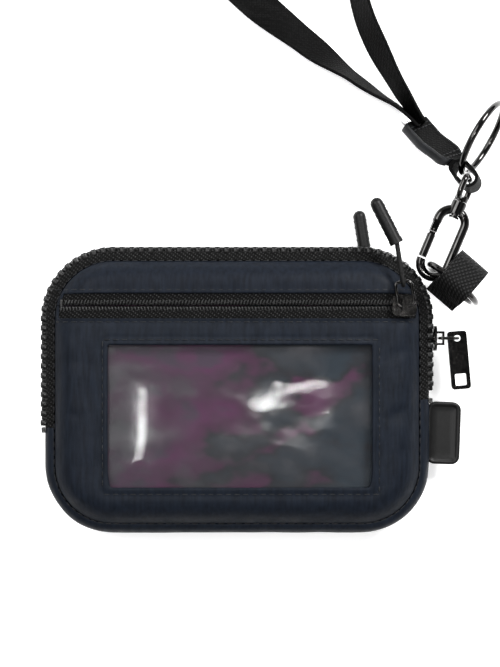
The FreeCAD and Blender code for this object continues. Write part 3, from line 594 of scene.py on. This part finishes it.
def coil_row(name, side, level, node, out):
    """One row of a coil zip: a cord of close turns that lean across the tape."""
    vertices, faces = [], []
    low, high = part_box(node)
    pitch, size = 1.15, (2.2, 0.75, 0.9)
    lean = Vector((0.28 * side, 1, 0)).normalized()
    for index in range(int((high.x - low.x) / MM / pitch)):
        x = low.x / MM + pitch * (index + 0.5)
        centre = Vector((x + side * 0.3, ZIP_LINE + side * 1.15, level(x, ZIP_LINE)))
        blob(vertices, faces, centre, lean, Vector((1, 0, 0)), Vector((0, 0, out)), size, 6, 6, 0.8)
    mesh_piece(name, vertices, faces, "zip_coil", "pouch", (node,))


TAPE_DEPTH = 0.75      # how far the pocket tapes lie behind the cloth


def front_tape_height(x, y):
    return front_height(x, y) - TAPE_DEPTH


def back_tape_height(x, y):
    return back_height(x, y) + TAPE_DEPTH


def make_coils():
    """Reversed coil zips: woven tape over each pocket slot, ribbed where the turns lie behind it."""
    for side, word in ((1, "upper"), (-1, "lower")):
        coil_row("front_coil_turns_" + word, side, front_tape_height, "front_coil_" + word, 1)
        coil_row("back_coil_turns_" + word, side, back_tape_height, "back_coil_" + word, -1)
        slot_tape("front_slot_tape_" + word, side, front_tape_height, "front_tape_" + word, 1)
        slot_tape("back_slot_tape_" + word, side, back_tape_height, "back_tape_" + word, -1)


def make_pocket_stops():
    """The small crimped stops that close both ends of each coil zip."""
    for word, level, out in (("front", front_tape_height, 1), ("back", back_tape_height, -1)):
        low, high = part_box(word + "_zip_stops")
        vertices, faces = [], []
        for x in (low.x / MM + 0.5, high.x / MM - 0.5):
            blob(vertices, faces, Vector((x, ZIP_LINE, level(x, ZIP_LINE))), Vector((0, 1, 0)),
                 Vector((1, 0, 0)), Vector((0, 0, out)), (4.6, 1.0, 1.2), 8, 8, 0.4)
        mesh_piece(word + "_stop_pair", vertices, faces, "zip_coil", "pouch", (word + "_zip_stops",))


def slot_tape(name, side, height_of, node, out):
    """Half a zip tape, from the middle of the chain to behind the hem; its two edges sink in."""
    low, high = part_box(node)
    rows = [0.12, 0.6, 1.4, 2.3, 3.2, 4.2, 5.0]
    sink = {rows[0]: 0.25, rows[-1]: 0.3}
    count = int((high.x - low.x) / MM / 1.2)
    vertices, faces = [], []
    for column in range(count + 1):
        x = (low.x + (high.x - low.x) * column / count) / MM
        for away in rows:
            y = ZIP_LINE + side * away
            vertices.append((x, y, height_of(x, y) - out * sink.get(away, 0.0)))
    width = len(rows)
    for column in range(count):
        for row in range(width - 1):
            a = column * width + row
            faces.append((a, a + 1, a + 1 + width, a + width))
    thicken(mesh_piece(name, vertices, faces, "zip_tape", "pouch", (node,)), 0.3, 0.0, 1)


def stitch_line(vertices, faces, points, height_of, lift):
    """Separate stitches along a polyline in the plane, sunk a little into the cloth."""
    length, gap, width, thick, reach = 2.3, 0.75, 0.42, 0.36, 0.8
    travelled, target = 0.0, 0.4
    for (ax, ay), (bx, by) in zip(points, points[1:]):
        run = math.hypot(bx - ax, by - ay)
        while target + length <= travelled + run:
            middle = (target + length / 2 - travelled) / run
            x, y = ax + (bx - ax) * middle, ay + (by - ay) * middle
            along = Vector((bx - ax, by - ay, 0)).normalized()
            ahead = along * reach
            climb = height_of(x + ahead.x, y + ahead.y) - height_of(x - ahead.x, y - ahead.y)
            along = Vector((along.x, along.y, climb / (2 * reach))).normalized()
            side = Vector((-along.y, along.x, 0)).normalized()
            out = along.cross(side)
            centre = Vector((x, y, height_of(x, y) + lift))
            blob(vertices, faces, centre, along, side, out, (length, width, thick), 6, 6, 0.85)
            target += length + gap
        travelled += run
        if target < travelled:
            target = travelled + 0.2


def make_stitches():
    """Topstitching round the window and along both pocket zips, and the seams of the shell."""
    hem, lift = 1.3, 0.12
    vertices, faces = [], []
    left, right, low, high = WINDOW
    box = (left - 1.9, right + 2.6, low - 2.6, high + 1.9)
    corners = [(box[0], box[2]), (box[1], box[2]), (box[1], box[3]), (box[0], box[3]), (box[0], box[2])]
    stitch_line(vertices, faces, corners, front_height, lift)
    for y in (SLOT_HIGH + hem, SLOT_LOW - hem):
        stitch_line(vertices, faces, [(SLOT_LEFT - 1.5, y), (SLOT_RIGHT + 1.5, y)], front_height, lift)
    mesh_piece("front_topstitching", vertices, faces, "nylon", "pouch", material=THREAD)
    vertices, faces = [], []
    for y in (SLOT_HIGH + hem, SLOT_LOW - hem):
        stitch_line(vertices, faces, [(SLOT_LEFT - 1.5, y), (SLOT_RIGHT + 1.5, y)], back_height, -lift)
    mesh_piece("back_topstitching", vertices, faces, "nylon", "pouch", material=THREAD)
    vertices, faces = [], []
    pitch, size = 3.1, (2.2, 0.4, 0.4)
    count = int(PERIMETER / pitch)
    for index in range(count):
        point, normal = outline_point(PERIMETER * index / count, SEAM_INSET - 0.1)
        along = Vector((-normal.y, normal.x, 0))
        for height in (FRONT_SEAM + 0.1, BACK_SEAM - 0.1):
            blob(vertices, faces, Vector((point.x, point.y, height)), along, normal,
                 Vector((0, 0, 1)), size, 6, 6, 0.85)
    mesh_piece("seam_stitching", vertices, faces, "nylon", "pouch", material=THREAD)


def make_film():
    """The clear window lies in soft ripples under the folded edge of its opening."""
    low, high = FILM_LOW / MM, FILM_HIGH / MM
    columns, rows = 90, 50
    sunk, bulge = 1.3, 2.0
    vertices, faces = [], []
    for r in range(rows + 1):
        for c in range(columns + 1):
            x = low.x + (high.x - low.x) * c / columns
            y = low.y + (high.y - low.y) * r / rows
            across, down = 2 * c / columns - 1, 2 * r / rows - 1
            crown = bulge * (1 - across ** 4) * (1 - down ** 4)
            ripple = 0.20 * noise.noise(Vector((x * 0.04 + y * 0.03, y * 0.09, 1.7)))
            vertices.append((x, y, TOP - sunk + crown + ripple))
    for r in range(rows):
        for c in range(columns):
            a = r * (columns + 1) + c
            faces.append((a, a + 1, a + columns + 2, a + columns + 1))
    thicken(mesh_piece("window_sheet", vertices, faces, "clear_film", "pouch", ("window_film",)), 0.25)


# ------------------------------------------------------------ pulls, tag, ribbon and tab
def node_look(node, material, bevel=0.0):
    """A kept CAD node: its own shape, softened edges and a procedural material."""
    piece = NODES[node]
    piece.data.materials.clear()
    piece.data.materials.append(material)
    if bevel:
        soften(piece, bevel)


def joint_line(name):
    """A joint's place, in millimetres, and its direction."""
    joint = JOINTS[name]
    return Vector(joint["pos_m"]) / MM, Vector(joint["axis"]).normalized()


def make_hardware():
    """Softened edges and finishes for the kept sliders, pulls, rings, hook and linings."""
    steel = SLOTS["gunmetal"]
    bevels = {"front_slider": 0.28, "back_slider": 0.28, "main_slider": 0.45, "main_pull_plate": 0.35,
              "gate_rivet": 0.2, "hook_body": 0.25, "hook_gate": 0.3}
    for node, bevel in bevels.items():
        node_look(node, steel, bevel)
    for node in ("front_bail", "back_bail", "main_bail", "tether_ring", "swivel_eye", "key_ring"):
        node_look(node, steel)
    node_look("main_zip_stops", SLOTS["zip_coil"], 0.2)
    for side in ("front", "back"):
        node_look(side + "_pull_tip", SLOTS["pull_rubber"], 0.3)
        node_look(side + "_pull_cord", SLOTS["cord"])
    for node in ("card_pocket_backing", "front_pocket_lining", "main_lining_front", "main_lining_back"):
        node_look(node, SLOTS["lining"])


def rounded_loop(width, length, radius):
    """Points of a rounded rectangle, anticlockwise, about its middle."""
    points = []
    count = 8
    for quarter, (sx, sy) in enumerate(((1, 1), (-1, 1), (-1, -1), (1, -1))):
        for step in range(count + 1):
            angle = math.pi / 2 * (quarter + step / count)
            points.append((sx * (width / 2 - radius) + radius * math.cos(angle),
                           sy * (length / 2 - radius) + radius * math.sin(angle)))
    return points


def lofted(rings):
    """Vertices and faces of a closed skin through rings with equal numbers of points."""
    vertices = [point for ring in rings for point in ring]
    count = len(rings[0])
    faces = []
    for r in range(len(rings) - 1):
        for c in range(count):
            a, b = r * count + c, r * count + (c + 1) % count
            faces.append((a, b, b + count, a + count))
    faces.append(tuple(reversed(range(count))))
    faces.append(tuple(range(len(vertices) - count, len(vertices))))
    return vertices, faces


def make_tag():
    """The moulded rubber tag: a thin flap with a raised round border and a plain sunk middle."""
    low, high = (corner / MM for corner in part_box("rubber_tag"))
    centre = (low + high) / 2
    width, length, corner = high.x - low.x - 0.5, high.y - low.y - 0.2, 3.0
    turn = Matrix.Rotation(math.radians(-2), 3, "Z")
    # inset from the edge and height of each ring, from the underside up and in over the border
    profile = [(0.35, 0.0), (0.0, 0.35), (0.0, 1.45), (0.35, 1.8), (1.25, 1.8), (1.55, 1.35), (1.9, 1.25),
               (4.0, 1.25)]
    rings = []
    for inset, height in profile:
        loop = rounded_loop(width - 2 * inset, length - 2 * inset, max(corner - inset, 0.8))
        rings.append([tuple(turn @ Vector((x, y, 0)) + Vector((centre.x, centre.y, low.z + height)))
                      for x, y in loop])
    vertices, faces = lofted(rings)
    mesh_piece("tag_flap", vertices, faces, "pull_rubber", "pouch", ("rubber_tag",))


def make_ribbon():
    """The ribbon keeps its CAD loop; its weave is coarser than the strap's."""
    node_look("ribbon_loop", ribbon_weave(), 0.25)


TAB_ROLL = math.radians(-42)
TAB_LEAN = 1.5
TAB_END = 30.0
TAB_SPREAD = 0.02      # how much wider the tab is at its end


def tab_roll(distance):
    """The tab stands on edge at the eye and rolls over towards the strap."""
    return TAB_ROLL * eased((distance - 5.0) / 8.0)


def tab_drop(distance):
    """Towards its end the tab lies back a little, clear of the key ring."""
    return -TAB_LEAN * eased((distance - 12.0) / 10.0)


def tab_axes():
    """Where the tab starts, and its directions along, across and out of its face."""
    start, across = joint_line("tab_swing")
    far, _ = joint_line("key_ring_swing")
    along = (far - start).normalized()
    return start, along, across, along.cross(across)


def tab_point(distance, side, out):
    """A point in the rolled tab, from its place along, across and out of its face."""
    start, along, across, face = tab_axes()
    turn = Matrix.Rotation(tab_roll(distance), 3, along)
    return start + along * distance + face * tab_drop(distance) + turn @ (across * side + face * out)


def make_tab_fold():
    """The doubled strap end: its CAD shape, cut finely along its length and rolled over."""
    start, along, across, face = tab_axes()
    bm = bmesh.new()
    bm.from_mesh(NODES["strap_tab"].data)
    for cut in range(5, int(TAB_END)):
        everything = bm.verts[:] + bm.edges[:] + bm.faces[:]
        bmesh.ops.bisect_plane(bm, geom=everything, plane_co=(start + along * cut) * MM, plane_no=along)
    for vertex in bm.verts:
        offset = vertex.co / MM - start
        distance = offset.dot(along)
        turn = Matrix.Rotation(tab_roll(distance), 3, along)
        side = across * offset.dot(across) * TAB_SPREAD * min(max(distance / TAB_END, 0), 1)
        centre = start + along * distance + face * tab_drop(distance)
        vertex.co = (centre + turn @ (offset - along * distance + side)) * MM
    mesh = bpy.data.meshes.new("tab_fold")
    bm.to_mesh(mesh)
    bm.free()
    fold = bpy.data.objects.new("tab_fold", mesh)
    bpy.context.scene.collection.objects.link(fold)
    mesh.materials.clear()
    mesh.materials.append(SLOTS["webbing"])
    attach(fold, "strap")
    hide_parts("strap_tab")
    soften(fold, 0.3)


def make_tab_binding():
    """Both long edges of the tab are bound with an oval roll of thread."""
    edge, half_thick, half_wide = 5.3, 2.0, 0.55
    first, step_length, steps, sides = 8.6, 1.05, 21, 10
    angles = [2 * math.pi * k / sides for k in range(sides)]
    vertices, faces = [], []
    for side in (-edge, edge):
        rings = []
        for step in range(steps):
            distance = first + step * step_length
            wide = side * (1 + TAB_SPREAD * distance / TAB_END)
            centre = tab_point(distance, wide, 0)
            up = tab_point(distance, wide, 1) - centre
            out = tab_point(distance, wide + 1, 0) - centre
            rings.append([tuple(centre + up * (half_thick * math.sin(a)) + out * (half_wide * math.cos(a)))
                          for a in angles])
        part, skin = lofted(rings)
        base = len(vertices)
        vertices += part
        faces += [tuple(i + base for i in ring) for ring in skin]
    mesh_piece("tab_binding", vertices, faces, "webbing", "strap", material=THREAD)


def make_tab_threads():
    """Two rows of stitches at each end of the tab, and frayed ends where it was cut."""
    vertices, faces = [], []
    surface = 1.75
    for distance in (10.5, 12.0, 26.0, 27.5):
        for side in (-4.0, -2.0, 0.0, 2.0, 4.0):
            for out in (surface, -surface):
                centre = tab_point(distance, side, out)
                direction = (tab_point(distance, side + 1, out) - centre).normalized()
                normal = (tab_point(distance, side, out * 1.5) - centre).normalized()
                blob(vertices, faces, centre, direction, direction.cross(normal), normal,
                     (1.6, 0.4, 0.35), 6, 6, 0.85)
    for index in range(16):
        side = -5.2 + 0.7 * index
        wander = noise.noise(Vector((index * 1.7, 0, 4.0)))
        root = tab_point(TAB_END - 0.6, side, 1.2 * wander)
        end = tab_point(TAB_END + 1.6 + 1.2 * wander, side + 0.8 * wander, 1.6 * wander)
        direction = (end - root).normalized()
        other = direction.orthogonal().normalized()
        blob(vertices, faces, (root + end) / 2, direction, other, direction.cross(other),
             ((end - root).length, 0.22, 0.22), 6, 5, 0.9)
    mesh_piece("tab_threads", vertices, faces, "webbing", "strap", material=THREAD)


# ------------------------------------------------------------ wrist strap
STRAP_ROUTE = [(0.0661, 0.0955), (0.0602, 0.1023), (0.0500, 0.1080), (0.0300, 0.1228),
               (0.0038, 0.1440), (-0.0120, 0.1605), (-0.0210, 0.1790), (-0.0145, 0.1970),
               (0.0050, 0.2062), (0.0280, 0.2005), (0.0405, 0.1805), (0.0416, 0.1595),
               (0.0445, 0.1385), (0.0525, 0.1210), (0.0619, 0.1043), (0.0673, 0.0965)]
STRAP_LEVEL = (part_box("wrist_strap")[0].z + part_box("wrist_strap")[1].z) / 2
STRAP_WIDTH, STRAP_THICK = 12.7, 1.3
# how far the band leans from upright, in degrees, at stations along its length from 0 to 1
STRAP_LEAN = [(0.0, 14), (0.04, 14), (0.10, 26), (0.17, 55), (0.26, 82), (0.35, 84), (0.46, 48),
              (0.56, 14), (0.66, 8), (0.78, 20), (0.88, 27), (0.95, 14), (1.0, 10)]
TAB_HOLD = 16.0     # mm of strap that is held up by the tab


def smooth_route(name, points, level):
    """Points read off a NURBS spline through the route's control points."""
    curve = bpy.data.curves.new(name, "CURVE")
    curve.dimensions = "3D"
    spline = curve.splines.new("NURBS")
    spline.points.add(len(points) - 1)
    for point, (x, y) in zip(spline.points, points):
        point.co = (x, y, level, 1)
    spline.order_u = 3
    spline.use_endpoint_u = True
    spline.resolution_u = 14
    holder = bpy.data.objects.new(name, curve)
    mesh = bpy.data.meshes.new_from_object(holder)
    line = [vertex.co.copy() for vertex in mesh.vertices]
    bpy.data.objects.remove(holder)
    return line


def between(stations, place):
    """The value at a place between (place, value) stations, with soft turns at each."""
    for (a, first), (b, second) in zip(stations, stations[1:]):
        if place <= b:
            return first + (second - first) * eased((place - a) / (b - a))
    return stations[-1][1]


def band_section():
    """The webbing's cross-section: a flat oval with thicker rolled edges."""
    half, thick = STRAP_WIDTH / 2, STRAP_THICK / 2
    face = [(-half * 0.86, thick * 0.72), (-half * 0.5, thick * 0.66), (0, thick * 0.62),
            (half * 0.5, thick * 0.66), (half * 0.86, thick * 0.72)]
    right = [(half * 0.93, thick), (half * 0.985, thick * 0.7), (half, 0), (half * 0.985, -thick * 0.7),
             (half * 0.93, -thick)]
    under = [(-x, -y) for x, y in face]
    left = [(-x, -y) for x, y in right]
    return face + right + under + left


def make_strap():
    """The wrist strap: webbing along its route, leaning as it goes, held up at the tab."""
    line = [point / MM for point in smooth_route("strap_line", STRAP_ROUTE, STRAP_LEVEL)]
    lengths = [0.0]
    for a, b in zip(line, line[1:]):
        lengths.append(lengths[-1] + (b - a).length)
    total = lengths[-1]
    section = band_section()
    held = tab_point(TAB_END - 3.0, 0, 0).z
    pinched = 0.62     # how much of its width the strap keeps inside the tab
    rings, path = [], []
    for index, point in enumerate(line):
        ahead = line[min(index + 1, len(line) - 1)] - line[max(index - 1, 0)]
        heading = ahead.normalized()
        place = lengths[index] / total
        lean = math.radians(between(STRAP_LEAN, place))
        sideways = Vector((-heading.y, heading.x, 0))
        up = Vector((0, 0, math.cos(lean))) + sideways * math.sin(lean)
        face = up.cross(heading).normalized()
        lying = 0.3 + STRAP_THICK * math.sin(lean) + STRAP_WIDTH / 2 * math.cos(lean)
        share = eased(min(lengths[index], total - lengths[index]) / TAB_HOLD)
        middle = Vector((point.x, point.y, held + (lying - held) * share))
        ripple = 0.02 * noise.noise(Vector((lengths[index] * 0.1, 0, 0)))
        wide = pinched + (1 - pinched) * share + ripple
        rings.append([tuple(middle + up * (u * wide) + face * v) for u, v in section])
        path.append(tuple(middle * MM))
    vertices, faces = lofted(rings)
    strap = mesh_piece("wrist_webbing", vertices, faces, "webbing", "strap", ("wrist_strap",))
    smooth = strap.modifiers.new("smooth", "SUBSURF")
    smooth.levels = smooth.render_levels = 1


# ------------------------------------------------------------ floor, light and camera
def make_stage():
    """The table top that the pouch lies on."""
    mesh = bpy.data.meshes.new("table_top")
    bm = bmesh.new()
    bmesh.ops.create_grid(bm, x_segments=1, y_segments=1, size=1.5)
    bm.to_mesh(mesh)
    bm.free()
    table = bpy.data.objects.new("table_top", mesh)
    bpy.context.scene.collection.objects.link(table)
    table.data.materials.append(backdrop())


def area_light(name, place, target, size, power, turn=0.0):
    """A soft lamp aimed at its target; turn, in degrees, is for one that hangs straight over it."""
    data = bpy.data.lights.new(name, "AREA")
    data.energy = power
    if isinstance(size, tuple):
        data.shape = "RECTANGLE"
        data.size, data.size_y = size
    else:
        data.shape = "DISK"
        data.size = size
    lamp = bpy.data.objects.new(name, data)
    lamp.location = place
    lamp.rotation_euler = (Vector(target) - Vector(place)).to_track_quat("-Z", "Y").to_euler()
    lamp.rotation_euler.z += math.radians(turn)
    bpy.context.scene.collection.objects.link(lamp)


def make_lights():
    """A studio with soft bright patches all round, a window, and two panels that glint in the vinyl."""
    world = bpy.data.worlds.new("studio")
    world.use_nodes = True
    tree = world.node_tree
    coords = tree.nodes.new("ShaderNodeTexCoord")
    patches = tree.nodes.new("ShaderNodeTexNoise")
    patches.inputs["Scale"].default_value = 1.7
    patches.inputs["Detail"].default_value = 2.0
    ramp = tree.nodes.new("ShaderNodeValToRGB")
    dark, bright = ramp.color_ramp.elements
    dark.position, dark.color = 0.44, (0.10, 0.10, 0.105, 1)
    bright.position, bright.color = 0.62, (1.0, 1.0, 1.0, 1)
    tree.links.new(coords.outputs["Generated"], patches.inputs["Vector"])
    tree.links.new(patches.outputs["Fac"], ramp.inputs["Fac"])
    background = tree.nodes["Background"]
    tree.links.new(ramp.outputs["Color"], background.inputs["Color"])
    background.inputs["Strength"].default_value = 0.85
    bpy.context.scene.world = world
    bpy.context.scene.view_settings.view_transform = "Standard"
    area_light("window_light", (0.42, 0.45, 0.55), (0, 0, 0.01), 0.30, 9.5)
    area_light("soft_fill", (-0.35, 0.30, 0.6), (0, 0, 0.01), 0.5, 4.0)
    area_light("ceiling_panel", (0.066, -0.010, 0.60), (0.066, -0.010, 0), (0.105, 0.034), 0.75, 10)
    area_light("left_panel", (-0.142, -0.060, 0.60), (-0.142, -0.060, 0), (0.024, 0.14), 0.4, -6)


CAMERA_CENTRE = (0.0046, 0.0209)
CAMERA_HEIGHT = 0.52
HALF_VIEW = 0.1174     # half the height of the view, at the level of the pouch's front
FRONT_LEVEL = 0.022


def make_camera():
    """Straight above the pouch, as close as a hand-held snapshot."""
    data = bpy.data.cameras.new("snapshot")
    data.sensor_fit = "VERTICAL"
    data.angle = 2 * math.atan(HALF_VIEW / (CAMERA_HEIGHT - FRONT_LEVEL))
    data.clip_start = 0.01
    camera = bpy.data.objects.new("snapshot", data)
    camera.location = (*CAMERA_CENTRE, CAMERA_HEIGHT)
    bpy.context.scene.collection.objects.link(camera)
    bpy.context.scene.camera = camera


make_camera()
make_strap()
make_panels()
make_bands()
make_teeth()
make_coils()
make_pocket_stops()
make_stitches()
make_film()
make_hardware()
make_tag()
make_ribbon()
make_tab_fold()
make_tab_binding()
make_tab_threads()
make_stage()
make_lights()
